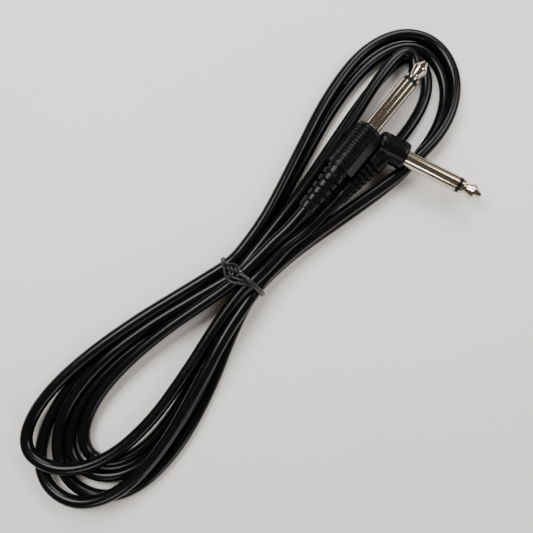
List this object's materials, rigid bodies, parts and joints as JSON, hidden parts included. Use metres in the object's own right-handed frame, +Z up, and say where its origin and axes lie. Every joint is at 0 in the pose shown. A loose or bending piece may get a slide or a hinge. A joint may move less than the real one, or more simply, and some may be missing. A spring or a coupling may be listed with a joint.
{
  "type": "instrument cable",
  "caption": "Instrument patch cable tied in a looped hank with a twist tie, with a straight and a right-angle moulded 6.35 mm phone plug.",
  "frame": {"origin": "centre of the whole cable's footprint, on the surface it lies on", "axes": "+X along the hank's length from the long loop towards the loop with the plugs, +Z up, +Y across the hank"},
  "size_m": [0.2302, 0.0742, 0.0219],
  "materials": {
    "plated_tip": "polished nickel plate",
    "plated_sleeve": "polished nickel plate",
    "steel_rod": "turned",
    "black_insulator": "moulded",
    "tube_insulator": "extruded, natural",
    "fibre_washer": "pressed fibre",
    "tinned_terminal": "tinned brass sheet",
    "core_insulation": "extruded polyethylene",
    "copper_strands": "bare copper strands",
    "solder": "soft solder",
    "inner_mould": "first shot of the moulding",
    "plug_moulding": "satin moulded PVC",
    "cable_jacket": "satin extruded PVC",
    "tie_plastic": "satin coating",
    "tie_steel": "soft iron wire"
  },
  "bodies": {
    "root": {"angle_body": "plug_moulding", "angle_cable_end": "cable_jacket", "angle_centre_rod": "steel_rod", "angle_core": "core_insulation", "angle_core_strands": "copper_strands", "angle_inner_mould": "inner_mould", "angle_insulating_tube": "tube_insulator", "angle_lead": "cable_jacket", "angle_rear_washer": "fibre_washer", "angle_shield_pigtail": "copper_strands", "angle_sleeve": "plated_sleeve", "angle_sleeve_terminal": "tinned_terminal", "angle_solder": "solder", "angle_tip": "plated_tip", "angle_tip_insulator": "black_insulator", "angle_tip_terminal": "tinned_terminal", "cable_bundle": "cable_jacket", "cable_long_loop": "cable_jacket", "cable_short_loop": "cable_jacket", "straight_body": "plug_moulding", "straight_cable_end": "cable_jacket", "straight_centre_rod": "steel_rod", "straight_core": "core_insulation", "straight_core_strands": "copper_strands", "straight_inner_mould": "inner_mould", "straight_insulating_tube": "tube_insulator", "straight_lead": "cable_jacket", "straight_rear_washer": "fibre_washer", "straight_shield_pigtail": "copper_strands", "straight_sleeve": "plated_sleeve", "straight_sleeve_terminal": "tinned_terminal", "straight_solder": "solder", "straight_tip": "plated_tip", "straight_tip_insulator": "black_insulator", "straight_tip_terminal": "tinned_terminal", "tie_coating": "tie_plastic", "tie_steel": "tie_steel"}
  },
  "joints": []
}
